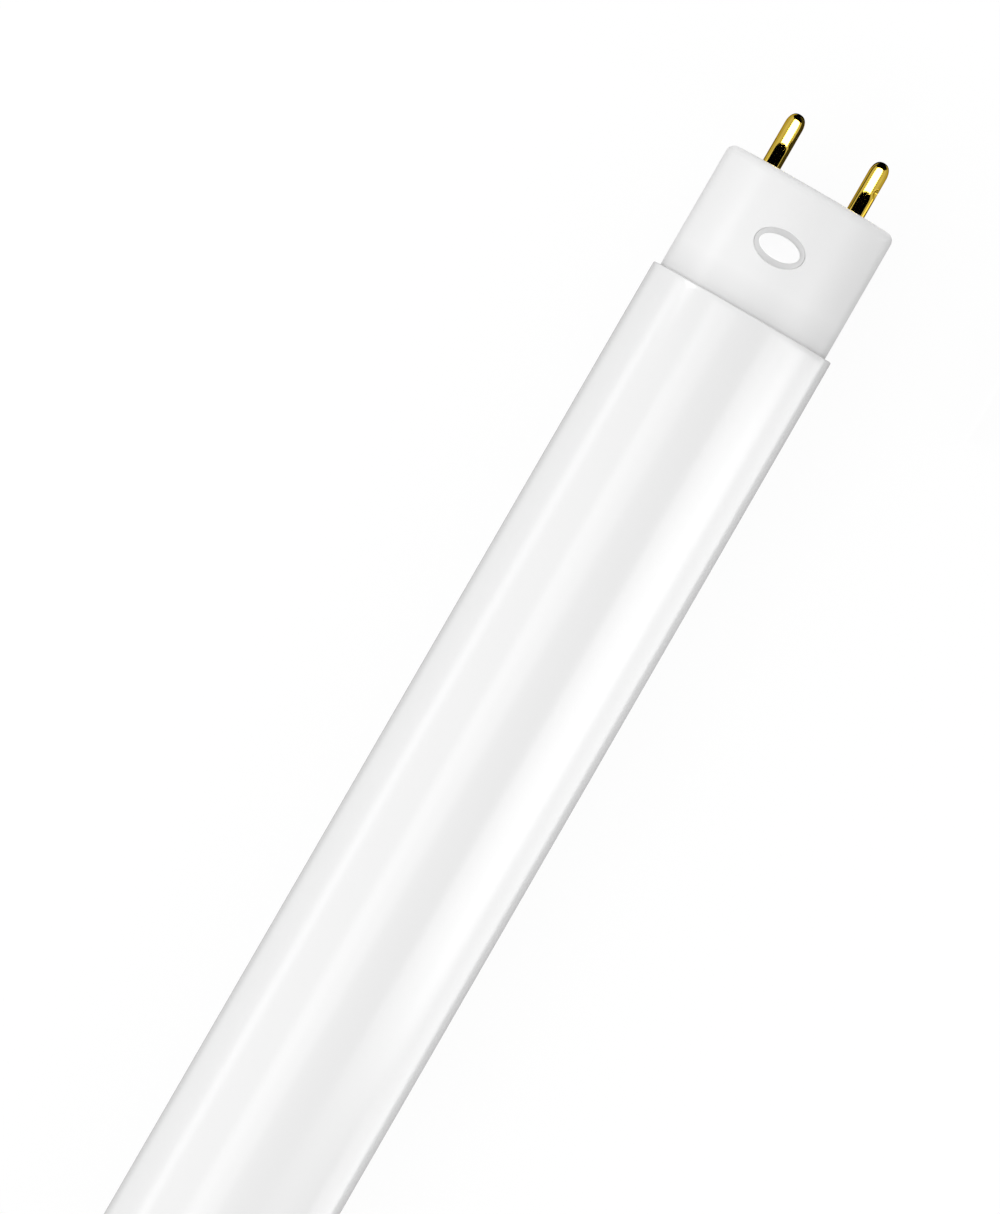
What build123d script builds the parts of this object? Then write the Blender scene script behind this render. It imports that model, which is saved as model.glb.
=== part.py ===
from build123d import *
import os
from math import cos, radians, sin, sqrt, tan

# A 600 mm T8 LED tube: an opal tube with a two-pin G13 cap plugged into each end.
# Inside lie a D-shaped aluminium profile, the LED board on it and the driver under it.
# The origin is the middle of the tube's axis. +X runs to end A, where the driver is,
# and +Z is the side that the light leaves by. All sizes are in millimetres.

# Driving dimensions
face_to_face = 588.6
pin_length = 7.7
pin_diameter = 2.6
pin_spacing = 12.7
tube_diameter = 26.8
tube_wall = 0.9
cap_exposed_length = 18.5
led_count = 30

# Opal tube, with a rib along each side that holds the profile's shoulders down
tube_radius = tube_diameter / 2
tube_bore_radius = tube_radius - tube_wall
tube_length = face_to_face - 2 * cap_exposed_length
tube_rim_round = 0.2
rib_reach = 1.3
rib_thickness = 0.8

# Aluminium profile: an arc along the tube's lower half, closed by a flat web
web_top = -0.5
web_thickness = 0.8
web_bottom = web_top - web_thickness
sink_gap = 0.05
sink_wall = 0.8
sink_radius = tube_bore_radius - sink_gap
sink_bore_radius = sink_radius - sink_wall
sink_corner_round = 0.4
sink_setback = 4.0
sink_end_x = tube_length / 2 - sink_setback

# LED board, on thermal tape, slid in under the web's two lips
tape_width = 11.0
tape_thickness = 0.15
tape_end_x = sink_end_x - 4.0
board_width = 12.0
board_thickness = 1.0
board_end_x = sink_end_x - 2.0
board_bottom = web_top + tape_thickness
board_top = board_bottom + board_thickness
lip_gap = 0.1
lip_wall = 0.6
lip_overhang = 0.8

# LED packages, 2835 size
led_length = 3.5
led_width = 2.8
led_height = 0.7
led_well_radius = 1.15
led_well_depth = 0.12
led_key_cut = 0.35
led_row_end_x = board_end_x - 12.0

# End cap: a moulded cup plugged into the tube, with a tongue that enters the profile
face_x = face_to_face / 2
rim_x = tube_length / 2
cap_radius = tube_bore_radius - 0.05
cap_wall = 1.3
cap_end_wall = 1.8
cap_edge_round = 1.2
tongue_length = 8.0
tongue_gap = 0.1
tongue_wall = 0.9
tongue_lead_in = 0.35
tongue_radius = sink_bore_radius - tongue_gap
tongue_bore_radius = tongue_radius - tongue_wall
cap_bore_radius = cap_radius - cap_wall
boss_radius = 2.6
boss_length = 4.2
stiffener_thickness = 1.0
stiffener_height = 2.6
key_slot_clearance = 0.12
glue_groove_width = 1.5
glue_groove_depth = 0.25
glue_groove_x = rim_x - 2.2

# Oval port through the cap's wall, filled with white silicone that stands in a narrow moat
port_x = rim_x + 9.5
port_half_length = 3.55
port_half_width = 2.45
port_pad_half_length = 2.95
port_pad_half_width = 1.6
port_moat_depth = 0.4
port_pad_round = 0.12
port_edge_round = 0.15
port_flange_margin = 0.7
port_flange_thickness = 0.8

# Contact pins: turned brass with a thicker shank, collared behind the boss, and a cup for the lead
pin_radius = pin_diameter / 2
pin_shank_radius = 1.5
pin_hole_gap = 0.02
pin_nose_length = 1.9
nose_fullness = 0.65
pin_collar_radius = 2.0
pin_collar_length = 0.8
pin_tail_radius = 0.9
pin_tail_length = 3.4
pin_cup_radius = 0.65
pin_cup_depth = 2.4
crimp_height = 3.6
crimp_ball_radius = 1.0
crimp_depth = 0.25
crimp_turn = 58.0

# Driver: a board in a film sleeve inside the profile, its parts hanging from the underside
sleeve_wall = 0.25
sleeve_gap = 0.1
sleeve_radius = sink_bore_radius - sleeve_gap
sleeve_bore_radius = sleeve_radius - sleeve_wall
sleeve_end_x = sink_end_x - tongue_length - 1.0
driver_length = 92.0
driver_thickness = 1.0
driver_end_x = sleeve_end_x - 2.0
driver_top = web_bottom - 1.1
driver_bottom = driver_top - driver_thickness
sleeve_length = driver_length + 6.0
component_lead_radius = 0.3
can_radius = 3.15
can_length = 11.0
bung_radius = 2.4
bung_depth = 0.4
bead_offset = 1.8
bead_depth = 0.4
can_lead_offset = 1.25
can_lead_reach = 2.0

# Insulated leads
lead_radius = 0.6
lead_bend_share = 0.45

os.makedirs("parts", exist_ok=True)


def save(piece, name):
    """Label a finished piece and write it to its own STEP file."""
    piece.label = name
    export_step(piece, f"parts/{name}.step")


def save_at_both_ends(piece, name):
    """Write a piece made for end A, and the same piece turned half way round for end B."""
    save(piece, f"{name}_a")
    save(piece.rotate(Axis.Z, 180), f"{name}_b")


def half_chord(radius, height):
    """Half the width of a circle at a height above or below its centre."""
    return sqrt(radius**2 - height**2)


def arc_radii(route):
    """The radius for each corner of a lead's route, as large as its two runs allow."""
    radii = []
    for before, corner, after in zip(route, route[1:], route[2:]):
        run_in = Vector(*corner) - Vector(*before)
        run_out = Vector(*after) - Vector(*corner)
        half_turn = radians(run_in.get_angle(run_out)) / 2
        shorter_run = min(run_in.length, run_out.length)
        radii.append(lead_bend_share * shorter_run / tan(half_turn))
    return radii


def wire_along(route, radius):
    """A round wire along straight runs joined by tangent arcs."""
    with BuildPart() as wire:
        with BuildLine() as path:
            FilletPolyline(*route, radius=arc_radii(route))
        with BuildSketch(Plane(origin=path.line @ 0, z_dir=path.line % 0)):
            Circle(radius)
        sweep()
    return wire.part


# Opal tube
rib_bottom = web_top
rib_top = rib_bottom + rib_thickness
rib_inner_y = tube_bore_radius - rib_reach
rib_outer_y = tube_radius - tube_wall / 2
with BuildPart() as diffuser_tube:
    with BuildSketch(Plane.YZ) as tube_section:
        Circle(tube_radius)
        Circle(tube_bore_radius, mode=Mode.SUBTRACT)
        for side in (-1, 1):
            with Locations((side * (rib_inner_y + rib_outer_y) / 2, (rib_bottom + rib_top) / 2)):
                Rectangle(rib_outer_y - rib_inner_y, rib_thickness)
    extrude(amount=tube_length / 2, both=True)
    tube_ends = diffuser_tube.faces().filter_by(Axis.X).group_by(Axis.X)
    rim_edges = [face.outer_wire().edges() for face in (tube_ends[0][0], tube_ends[-1][0])]
    fillet(ShapeList(rim_edges[0] + rim_edges[1]), tube_rim_round)
save(diffuser_tube.part, "diffuser_tube")

# Aluminium profile
lip_height = board_top - web_top + lip_gap + lip_wall
lip_inner_y = board_width / 2 + lip_gap
with BuildSketch() as sink_hollow:
    Circle(sink_bore_radius)
    with Locations((0, web_bottom)):
        Rectangle(2 * tube_radius, tube_radius, align=(Align.CENTER, Align.MIN), mode=Mode.SUBTRACT)
    fillet(sink_hollow.vertices(), sink_corner_round)
with BuildPart() as heat_sink:
    with BuildSketch(Plane.YZ) as sink_section:
        Circle(sink_radius)
        with Locations((0, web_top)):
            Rectangle(2 * tube_radius, 2 * tube_radius, align=(Align.CENTER, Align.MIN), mode=Mode.SUBTRACT)
        add(sink_hollow.sketch, mode=Mode.SUBTRACT)
        for side in (-1, 1):
            with Locations((side * (lip_inner_y + lip_wall / 2), web_top)):
                Rectangle(lip_wall, lip_height, align=(Align.CENTER, Align.MIN))
            with Locations((side * (lip_inner_y + (lip_wall - lip_overhang) / 2), web_top + lip_height)):
                Rectangle(lip_wall + lip_overhang, lip_wall, align=(Align.CENTER, Align.MAX))
    extrude(amount=sink_end_x, both=True)
save(heat_sink.part, "heat_sink")

# Thermal tape and LED board
with BuildPart() as thermal_tape:
    with BuildSketch(Plane.XY.offset(web_top)):
        Rectangle(2 * tape_end_x, tape_width)
    extrude(amount=tape_thickness)
save(thermal_tape.part, "thermal_tape")

with BuildPart() as led_board:
    with BuildSketch(Plane.XY.offset(board_bottom)) as board_outline:
        Rectangle(2 * board_end_x, board_width)
        fillet(board_outline.vertices(), 0.5)
    extrude(amount=board_thickness)
save(led_board.part, "led_board")

# LED packages, in one row along the board
led_pitch = 2 * led_row_end_x / (led_count - 1)
for number in range(led_count):
    led_x = -led_row_end_x + number * led_pitch
    with BuildPart() as led_package:
        with BuildSketch(Plane((led_x, 0, board_top))) as led_outline:
            Rectangle(led_length, led_width)
            chamfer(led_outline.vertices().group_by(Axis.X)[-1].sort_by(Axis.Y)[-1], led_key_cut)
        extrude(amount=led_height)
        with BuildSketch(Plane((led_x, 0, board_top + led_height))):
            Circle(led_well_radius)
        extrude(amount=-led_well_depth, mode=Mode.SUBTRACT)
    save(led_package.part, f"led_{number + 1:02d}")

# End cap
cap_inner_x = sink_end_x
tongue_end_x = cap_inner_x - tongue_length
boss_end_x = face_x - cap_end_wall - boss_length
pin_places = [(-pin_spacing / 2, 0), (pin_spacing / 2, 0)]
with BuildSketch() as below_web:
    with Locations((0, web_bottom)):
        Rectangle(2 * tube_radius, tube_radius, align=(Align.CENTER, Align.MAX))
with BuildSketch() as above_web:
    with Locations((0, web_bottom)):
        Rectangle(2 * tube_radius, 2 * tube_radius, align=(Align.CENTER, Align.MIN))
with BuildSketch() as cap_bore_upper:
    Circle(cap_bore_radius)
    add(above_web.sketch, mode=Mode.INTERSECT)

with BuildPart() as end_cap:
    with BuildSketch(Plane.YZ.offset(cap_inner_x)):
        Circle(cap_radius)
    extrude(amount=face_x - cap_inner_x)
    fillet(end_cap.faces().sort_by(Axis.X)[-1].edges(), cap_edge_round)

    # Tongue that enters the profile's hollow, its top edges under the web
    with BuildSketch(Plane.YZ.offset(tongue_end_x)) as tongue_section:
        Circle(tongue_radius)
        add(below_web.sketch, mode=Mode.INTERSECT)
        fillet(tongue_section.vertices(), sink_corner_round)
    extrude(amount=tongue_length)
    chamfer(end_cap.faces().sort_by(Axis.X)[0].edges().filter_by(GeomType.CIRCLE), tongue_lead_in)

    # Cavity, open towards the tube, so that the core draws straight out
    with BuildSketch(Plane.YZ.offset(tongue_end_x)):
        Circle(tongue_bore_radius)
        add(cap_bore_upper.sketch)
    extrude(amount=face_x - cap_end_wall - tongue_end_x, mode=Mode.SUBTRACT)

    # Pin bosses, tied to the wall and to each other by stiffeners
    with BuildSketch(Plane.YZ.offset(face_x - cap_end_wall)):
        with Locations(*pin_places):
            Circle(boss_radius)
    extrude(amount=-boss_length)
    with BuildSketch(Plane.YZ.offset(face_x - cap_end_wall)):
        Rectangle(2 * cap_radius, stiffener_thickness)
        with Locations(*pin_places):
            Rectangle(stiffener_thickness, 2 * cap_radius)
        Circle(cap_bore_radius + cap_wall / 2, mode=Mode.INTERSECT)
    extrude(amount=-stiffener_height)
    with BuildSketch(Plane.YZ.offset(face_x)):
        with Locations(*pin_places):
            Circle(pin_shank_radius + pin_hole_gap)
    extrude(amount=boss_end_x - face_x, mode=Mode.SUBTRACT)

    # Slots that take the tube's ribs: they set the pins square to the LED board and stop the cap
    with BuildSketch(Plane.YZ.offset(cap_inner_x)):
        for side in (-1, 1):
            with Locations((side * (rib_inner_y - key_slot_clearance), (rib_bottom + rib_top) / 2)):
                Rectangle(
                    2 * rib_reach,
                    rib_thickness + 2 * key_slot_clearance,
                    align=(Align.MIN if side > 0 else Align.MAX, Align.CENTER),
                )
    extrude(amount=sink_setback, mode=Mode.SUBTRACT)

    # Glue groove round the part that stands inside the tube
    with BuildSketch(Plane.YZ.offset(glue_groove_x - glue_groove_width / 2)):
        Circle(tube_radius)
        Circle(cap_radius - glue_groove_depth, mode=Mode.SUBTRACT)
    extrude(amount=glue_groove_width, mode=Mode.SUBTRACT)

    # Oval port in the wall on the light side
    with BuildSketch(Plane((port_x, 0, cap_radius), x_dir=(0, 1, 0))):
        Ellipse(port_half_length, port_half_width)
    extrude(amount=-2 * cap_wall, mode=Mode.SUBTRACT)
    fillet(end_cap.edges(Select.LAST).group_by(Axis.Z)[-1], port_edge_round)
save_at_both_ends(end_cap.part, "end_cap")

# Silicone fill of the port: a collar in the moat, a raised pad, and a flange inside the wall
with BuildPart() as port_fill:
    with BuildSketch(Plane((port_x, 0, 0), x_dir=(0, 1, 0))):
        Ellipse(port_half_length + port_flange_margin, port_half_width + port_flange_margin)
    extrude(amount=cap_radius)
    with BuildSketch(Plane.YZ.offset(port_x)):
        Circle(cap_bore_radius)
    extrude(amount=tube_radius, both=True, mode=Mode.INTERSECT)
    with BuildSketch(Plane.YZ.offset(port_x)):
        Circle(cap_bore_radius - port_flange_thickness)
    extrude(amount=tube_radius, both=True, mode=Mode.SUBTRACT)
    with BuildSketch(Plane((port_x, 0, cap_bore_radius - port_flange_thickness), x_dir=(0, 1, 0))):
        Ellipse(port_half_length, port_half_width)
    extrude(amount=port_flange_thickness + cap_wall - port_moat_depth)
    with BuildSketch(Plane((port_x, 0, cap_bore_radius), x_dir=(0, 1, 0))):
        Ellipse(port_pad_half_length, port_pad_half_width)
    extrude(amount=cap_wall)
    fillet(port_fill.faces().sort_by(Axis.Z)[-1].edges(), port_pad_round)
save_at_both_ends(port_fill.part, "port_fill")

# Contact pins
collar_x = boss_end_x - pin_collar_length
tail_x = collar_x - pin_tail_length
tip_x = face_x + pin_length
nose_x = tip_x - pin_nose_length
for number, (pin_y, _) in enumerate(pin_places, start=1):
    pin_plane = Plane(origin=(0, pin_y, 0), x_dir=(1, 0, 0), z_dir=(0, -1, 0))
    with BuildPart() as contact_pin:
        with BuildSketch(pin_plane):
            with BuildLine():
                Bezier(
                    (nose_x, pin_radius),
                    (nose_x + nose_fullness * pin_nose_length, pin_radius),
                    (tip_x, nose_fullness * pin_radius),
                    (tip_x, 0),
                )
                Polyline(
                    (tip_x, 0),
                    (tail_x + pin_cup_depth, 0),
                    (tail_x + pin_cup_depth, pin_cup_radius),
                    (tail_x, pin_cup_radius),
                    (tail_x, pin_tail_radius),
                    (collar_x, pin_tail_radius),
                    (collar_x, pin_collar_radius),
                    (boss_end_x, pin_collar_radius),
                    (boss_end_x, pin_shank_radius),
                    (face_x, pin_shank_radius),
                    (face_x, pin_radius),
                    (nose_x, pin_radius),
                )
            make_face()
        revolve(axis=Axis((0, pin_y, 0), (1, 0, 0)))
        # Crimp marks on opposite sides, turned from straight up towards -Y, where the pin was pinched
        crimp_reach = pin_radius + crimp_ball_radius - crimp_depth
        crimp_y = crimp_reach * sin(radians(crimp_turn))
        crimp_z = crimp_reach * cos(radians(crimp_turn))
        crimp_x = face_x + crimp_height
        with Locations((crimp_x, pin_y - crimp_y, crimp_z), (crimp_x, pin_y + crimp_y, -crimp_z)):
            Sphere(crimp_ball_radius, mode=Mode.SUBTRACT)
    save_at_both_ends(contact_pin.part, f"contact_pin_{number}")

# Driver sleeve, its flat top against the web
sleeve_middle_x = sleeve_end_x - sleeve_length / 2
with BuildSketch() as sleeve_hollow:
    Circle(sleeve_bore_radius)
    with Locations((0, web_bottom - sleeve_wall)):
        Rectangle(2 * tube_radius, 2 * tube_radius, align=(Align.CENTER, Align.MIN), mode=Mode.SUBTRACT)
    fillet(sleeve_hollow.vertices(), sink_corner_round - sleeve_wall)
with BuildPart() as driver_sleeve:
    with BuildSketch(Plane.YZ.offset(sleeve_middle_x)) as sleeve_section:
        Circle(sleeve_radius)
        add(below_web.sketch, mode=Mode.INTERSECT)
        fillet(sleeve_section.vertices(), sink_corner_round)
        add(sleeve_hollow.sketch, mode=Mode.SUBTRACT)
    extrude(amount=sleeve_length / 2, both=True)
save(driver_sleeve.part, "driver_sleeve")

# Driver board, its lower edges resting on the sleeve's curve
driver_half_width = half_chord(sleeve_bore_radius, driver_bottom) - 0.01
driver_middle_x = driver_end_x - driver_length / 2
with BuildPart() as driver_board:
    with BuildSketch(Plane((driver_middle_x, 0, driver_bottom))):
        Rectangle(driver_length, 2 * driver_half_width)
    extrude(amount=driver_thickness)
save(driver_board.part, "driver_board")


def hanging_box(x, y, length, width, height, edge_round):
    """A moulded block standing under the driver board, with its lower edges rounded."""
    with BuildPart() as block:
        with BuildSketch(Plane((x, y, driver_bottom))) as outline:
            Rectangle(length, width)
            fillet(outline.vertices(), edge_round)
        extrude(amount=-height)
        fillet(block.faces().sort_by(Axis.Z)[0].edges(), edge_round)
    return block.part


def solder_feet(places, length, width, thickness):
    """Flat metal feet lying on the underside of the driver board."""
    with BuildPart() as feet:
        with BuildSketch(Plane.XY.offset(driver_bottom)):
            with Locations(*places):
                Rectangle(length, width)
        extrude(amount=-thickness)
    return feet.part


def bent_lead(x, y, z, direction, reach):
    """A component's own wire: out along X by its reach, then up to the board."""
    corner_x = x + direction * reach
    return wire_along([(x, y, z), (corner_x, y, z), (corner_x, y, driver_bottom)], component_lead_radius)


def lying_capacitor(x, y):
    """An electrolytic capacitor on its side, rolled in behind its rubber bung."""
    z = driver_bottom - can_radius
    can_plane = Plane(origin=(x, y, z), x_dir=(1, 0, 0), z_dir=(0, -1, 0))
    with BuildPart() as can:
        with BuildSketch(can_plane):
            with BuildLine():
                Polyline(
                    (bead_offset - bead_depth, can_radius),
                    (0, can_radius),
                    (0, bung_radius),
                    (bung_depth, bung_radius),
                    (bung_depth, 0),
                    (can_length, 0),
                    (can_length, can_radius),
                    (bead_offset + bead_depth, can_radius),
                )
                ThreePointArc(
                    (bead_offset - bead_depth, can_radius),
                    (bead_offset, can_radius - bead_depth),
                    (bead_offset + bead_depth, can_radius),
                )
            make_face()
        revolve(axis=Axis((x, y, z), (1, 0, 0)))
        fillet(can.faces().sort_by(Axis.X)[-1].edges(), bead_depth)
        for side in (-1, 1):
            add(bent_lead(x + bung_depth, y + side * can_lead_offset, z, -1, can_lead_reach))
    return can.part


# Fusible resistor, its ends rounded by the coating
fuse_x = driver_end_x - 17.0
fuse_y = -6.4
fuse_z = driver_bottom - 2.1
fuse_length = 7.0
fuse_radius = 1.3
with BuildPart() as fuse_resistor:
    with BuildSketch(Plane.YZ.offset(fuse_x)):
        with Locations((fuse_y, fuse_z)):
            Circle(fuse_radius)
    extrude(amount=fuse_length / 2, both=True)
    fillet(fuse_resistor.edges().filter_by(GeomType.CIRCLE), fuse_radius / 2)
    for direction in (-1, 1):
        lead_start_x = fuse_x + direction * (fuse_length / 2 - component_lead_radius)
        add(bent_lead(lead_start_x, fuse_y, fuse_z, direction, 2.0))
save(fuse_resistor.part, "fuse_resistor")

film_capacitor = hanging_box(driver_end_x - 21.0, 1.6, length=10.0, width=4.6, height=6.2, edge_round=0.4)
save(film_capacitor, "film_capacitor")

# Bridge rectifier, four feet
bridge_x = driver_end_x - 30.5
bridge_y = 5.6
bridge_foot_x = 1.27
bridge_foot_y = 2.5
bridge_feet = [
    (bridge_x + side_x * bridge_foot_x, bridge_y + side_y * bridge_foot_y)
    for side_x in (-1, 1)
    for side_y in (-1, 1)
]
with BuildPart() as bridge_rectifier:
    add(hanging_box(bridge_x, bridge_y, length=4.7, width=3.9, height=2.5, edge_round=0.25))
    add(solder_feet(bridge_feet, length=0.7, width=1.3, thickness=0.3))
save(bridge_rectifier.part, "bridge_rectifier")

save(lying_capacitor(driver_end_x - 45.0, -1.0), "input_capacitor")

# Driver chip, eight feet
chip_x = driver_end_x - 54.5
chip_y = 6.2
chip_pitch = 1.27
chip_foot_y = 2.45
chip_feet = [
    (chip_x + (place - 1.5) * chip_pitch, chip_y + side * chip_foot_y)
    for place in range(4)
    for side in (-1, 1)
]
with BuildPart() as driver_chip:
    add(hanging_box(chip_x, chip_y, length=4.9, width=3.9, height=1.6, edge_round=0.2))
    add(solder_feet(chip_feet, length=0.4, width=1.1, thickness=0.25))
save(driver_chip.part, "driver_chip")

output_diode = hanging_box(driver_end_x - 54.5, -6.4, length=4.3, width=2.7, height=2.1, edge_round=0.3)
save(output_diode, "output_diode")

# Inductor: a ferrite drum with its copper winding between the flanges
coil_height = 6.8
flange_radius = 3.4
flange_thickness = 1.0
post_radius = 1.7
winding_radius = 3.05
winding_height = coil_height - 2 * flange_thickness
coil_plane = Plane((driver_end_x - 63.0, 0, driver_bottom))
with BuildPart() as inductor_core:
    with BuildSketch(coil_plane):
        Circle(flange_radius)
    extrude(amount=-coil_height)
    with BuildSketch(coil_plane.offset(-flange_thickness)):
        Circle(flange_radius)
        Circle(post_radius, mode=Mode.SUBTRACT)
    extrude(amount=-winding_height, mode=Mode.SUBTRACT)
save(inductor_core.part, "inductor_core")
with BuildPart() as inductor_winding:
    with BuildSketch(coil_plane.offset(-flange_thickness)):
        Circle(winding_radius)
        Circle(post_radius, mode=Mode.SUBTRACT)
    extrude(amount=-winding_height)
save(inductor_winding.part, "inductor_winding")

save(lying_capacitor(driver_end_x - 81.0, 0.0), "output_capacitor")

# Leads from end A's pins, down under the web and through the tongue to the driver board
lead_start_x = tail_x + pin_cup_depth
lead_pad_x = driver_end_x - 4.0
mains_y = 5.8
tongue_passage_z = -6.8
board_passage_z = -7.6
for number, side in ((1, -1), (2, 1)):
    mains_route = [
        (lead_start_x, side * pin_spacing / 2, 0.0),
        (tail_x - 4.5, side * pin_spacing / 2, 0.0),
        (cap_inner_x + 0.5, side * mains_y, tongue_passage_z),
        (sleeve_end_x - 0.5, side * mains_y, board_passage_z),
        (lead_pad_x, side * mains_y, board_passage_z + 0.3),
        (lead_pad_x, side * mains_y, driver_bottom),
    ]
    save(wire_along(mains_route, lead_radius), f"mains_lead_{number}")

# Leads from the driver board, out under the web, round its end and back over it to the LED board
output_pad_x = lead_pad_x + 0.8
led_pad_x = board_end_x - 4.0
output_y = 2.0
led_pad_y = 2.3
for name, side in (("negative", -1), ("positive", 1)):
    output_route = [
        (output_pad_x, side * output_y, driver_bottom),
        (output_pad_x, side * output_y, board_passage_z + 0.4),
        (output_pad_x + 5.7, side * output_y, board_passage_z - 0.3),
        (cap_inner_x + 5.0, side * output_y, tongue_passage_z),
        (cap_inner_x + 8.6, side * output_y, web_top),
        (cap_inner_x + 6.0, side * led_pad_y, 5.6),
        (board_end_x - 0.5, side * led_pad_y, 6.2),
        (led_pad_x, side * led_pad_y, 5.4),
        (led_pad_x, side * led_pad_y, board_top),
    ]
    save(wire_along(output_route, lead_radius), f"led_lead_{name}")

# Link between end B's pins, which the mains isn't connected to
link_reach = 7.0
link_route = [
    (-lead_start_x, -pin_spacing / 2, 0.0),
    (-tail_x + link_reach, -pin_spacing / 2, 0.0),
    (-tail_x + link_reach, pin_spacing / 2, 0.0),
    (-lead_start_x, pin_spacing / 2, 0.0),
]
save(wire_along(link_route, lead_radius), "end_b_link")
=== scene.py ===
"""Looks of a straight LED lamp tube that lies on a studio floor, seen from straight above.

The tube's axis is X, the light leaves by the +Z side, and the camera looks down that side at
the end with the driver in it. All lengths are in metres, and sizes in millimetres carry _mm.
"""
import logging
import math
from dataclasses import dataclass, field
from enum import Enum

import bmesh
import bpy
from mathutils import Matrix, Vector


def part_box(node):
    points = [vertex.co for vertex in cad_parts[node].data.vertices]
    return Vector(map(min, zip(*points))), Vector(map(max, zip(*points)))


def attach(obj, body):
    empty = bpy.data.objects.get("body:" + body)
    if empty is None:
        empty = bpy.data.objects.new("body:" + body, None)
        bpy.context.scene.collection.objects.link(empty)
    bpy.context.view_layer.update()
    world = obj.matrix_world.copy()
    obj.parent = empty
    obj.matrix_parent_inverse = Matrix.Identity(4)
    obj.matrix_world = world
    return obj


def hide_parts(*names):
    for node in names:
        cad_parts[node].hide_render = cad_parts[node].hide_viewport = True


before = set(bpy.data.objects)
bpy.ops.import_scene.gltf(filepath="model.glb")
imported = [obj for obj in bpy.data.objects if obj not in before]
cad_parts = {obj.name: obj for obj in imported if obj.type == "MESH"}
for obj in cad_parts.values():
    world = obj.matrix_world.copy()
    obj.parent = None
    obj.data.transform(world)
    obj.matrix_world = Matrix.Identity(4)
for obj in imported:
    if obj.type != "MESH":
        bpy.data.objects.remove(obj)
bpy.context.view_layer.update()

MM = 0.001
BODY = "root"
# The part of its range in which a noise value mostly lies.
NOISE_RANGE = (0.3, 0.7)
# Blender's wave texture turns through so many radians while its scaled coordinate grows by one.
WAVE_RADIANS = 20.0
# The bevel profile that is a quarter of a circle.
ROUND_PROFILE = 0.5
LOG = logging.getLogger("led_tube")
Colour = tuple[float, float, float]
Range = tuple[float, float]


class Grain(Enum):
    """How a surface's fine marks run, as stretches of the pattern along X, Y and Z."""

    EVEN = (1.0, 1.0, 1.0)
    ALONG_TUBE = (0.02, 1.0, 1.0)
    ROUND_THE_AXIS = (1.0, 0.05, 0.05)
    FLAT_LAYERS = (0.05, 0.05, 1.0)


def node_box(name: str) -> tuple[Vector, Vector]:
    """The lowest and highest corners of a CAD node, in metres."""
    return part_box(name)


def grey(level: float) -> tuple[float, float, float, float]:
    """An opaque grey of that level."""
    return (level, level, level, 1.0)


def blank_tree(owner: bpy.types.Material | bpy.types.World) -> bpy.types.NodeTree:
    """Give a material or world nodes, and empty the tree.

    Args:
        owner: The material or world.

    Returns:
        Its node tree.
    """
    owner.use_nodes = True
    owner.node_tree.nodes.clear()
    return owner.node_tree


def add_to_scene(shape: bmesh.types.BMesh, name: str) -> bpy.types.Object:
    """Turn a bmesh into an object of the scene.

    Args:
        shape: The finished shape, in place and in metres. It is freed.
        name: The object's name.

    Returns:
        The new object, at the origin.
    """
    mesh = bpy.data.meshes.new(name)
    shape.to_mesh(mesh)
    shape.free()
    thing = bpy.data.objects.new(name, mesh)
    bpy.context.scene.collection.objects.link(thing)
    return thing


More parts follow.
